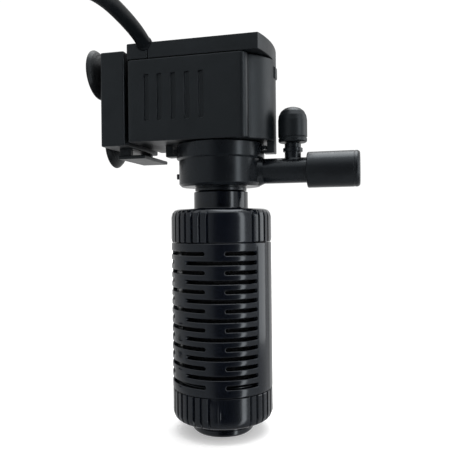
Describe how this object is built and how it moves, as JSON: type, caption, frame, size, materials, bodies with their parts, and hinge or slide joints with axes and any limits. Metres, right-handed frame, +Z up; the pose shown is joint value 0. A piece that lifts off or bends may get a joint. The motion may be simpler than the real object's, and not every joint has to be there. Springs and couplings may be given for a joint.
{
  "type": "internal power filter",
  "caption": "Submersible aquarium filter: pump head with outlet pipe, air valve, suction-cup bracket and mains cord above a slotted sponge cartridge.",
  "frame": {"origin": "centre of the foot's underside, on the axis that the pump shaft and the cartridge share", "axes": "+Z up along the shaft, +X towards the outlet, -X towards the glass that the suction cups hold"},
  "size_m": [0.2394, 0.1235, 0.1842],
  "materials": {
    "satin": "satin black moulded plastic",
    "satin_chamber": "satin black moulded plastic",
    "gloss": "glossy black moulded plastic",
    "sleeve": "satin black moulded plastic",
    "cup_rubber": "soft black rubber",
    "seal_rubber": "black nitrile rubber",
    "bush_rubber": "black rubber",
    "sponge": "open-cell black filter foam",
    "cord_jacket": "satin black cable jacket",
    "plug_plastic": "moulded black plug",
    "pin_metal": "nickel-plated brass",
    "ceramic": "polished ceramic",
    "ferrite": "sintered ferrite",
    "impeller_plastic": "natural moulded plastic",
    "steel": "laminated electrical steel",
    "bobbin": "moulded bobbin",
    "copper": "enamelled copper wire",
    "resin": "cured epoxy",
    "tie": "flexible tie"
  },
  "bodies": {
    "motor_unit": {"motor_housing": "satin", "housing_lid": "satin", "cable_entry_cover": "satin", "cord_strain_relief": "cord_jacket", "rotor_well": "satin_chamber", "chamber_seal_ring": "seal_rubber", "stator_core": "steel", "coil_bobbin": "bobbin", "coil_winding": "copper", "potting_resin": "resin", "upper_shaft_bush": "bush_rubber", "power_cord": "cord_jacket", "cord_coil": "cord_jacket", "cord_tail": "cord_jacket", "cord_tie": "tie", "mains_plug": "plug_plastic", "plug_pin_left": "pin_metal", "plug_pin_right": "pin_metal"},
    "chamber": {"pump_chamber": "satin_chamber", "lower_shaft_bush": "bush_rubber", "ceramic_shaft": "ceramic"},
    "rotor": {"rotor_magnet": "ferrite", "impeller": "impeller_plastic"},
    "air_knob": {"air_valve_knob": "satin_chamber"},
    "sleeve": {"outlet_sleeve": "sleeve"},
    "cartridge_head": {"cartridge_top_cap": "gloss"},
    "barrel": {"strainer_barrel": "gloss", "filter_sponge": "sponge"},
    "bottom_cap": {"cartridge_bottom_cap": "gloss"},
    "bracket": {"mounting_bracket": "satin"},
    "cup_upper": {"suction_cup_upper": "cup_rubber"},
    "cup_lower": {"suction_cup_lower": "cup_rubber"}
  },
  "joints": [
    {"name": "chamber_bayonet", "type": "hinge", "parent": "motor_unit", "child": "chamber", "pos_m": [0, 0, 0.127], "axis": [0, 0, 1], "range_deg": [0, 25]},
    {"name": "rotor_spin", "type": "hinge", "parent": "motor_unit", "child": "rotor", "pos_m": [0, 0, 0.14], "axis": [0, 0, 1], "continuous": true},
    {"name": "air_knob_turn", "type": "hinge", "parent": "chamber", "child": "air_knob", "pos_m": [0.0336, 0, 0.135], "axis": [0, 0, 1], "range_deg": [0, 180]},
    {"name": "sleeve_pull", "type": "slide", "parent": "chamber", "child": "sleeve", "axis": [1, 0, 0], "range_m": [0, 0.0115]},
    {"name": "cartridge_pull", "type": "slide", "parent": "chamber", "child": "cartridge_head", "axis": [0, 0, -1], "range_m": [0, 0.0112]},
    {"name": "top_cap_twist", "type": "hinge", "parent": "cartridge_head", "child": "barrel", "pos_m": [0, 0, 0.085], "axis": [0, 0, 1], "range_deg": [0, 20]},
    {"name": "bottom_cap_twist", "type": "hinge", "parent": "barrel", "child": "bottom_cap", "pos_m": [0, 0, 0.02], "axis": [0, 0, 1], "range_deg": [0, 20]},
    {"name": "bracket_slide", "type": "slide", "parent": "motor_unit", "child": "bracket", "axis": [0, 0, -1], "range_m": [0, 0.035]},
    {"name": "cup_upper_spin", "type": "hinge", "parent": "bracket", "child": "cup_upper", "pos_m": [-0.0505, -0.0079, 0.16585], "axis": [0.9981, 0, 0.061], "continuous": true},
    {"name": "cup_lower_spin", "type": "hinge", "parent": "bracket", "child": "cup_lower", "pos_m": [-0.0505, 0.0106, 0.1347], "axis": [1, 0, 0], "continuous": true}
  ]
}
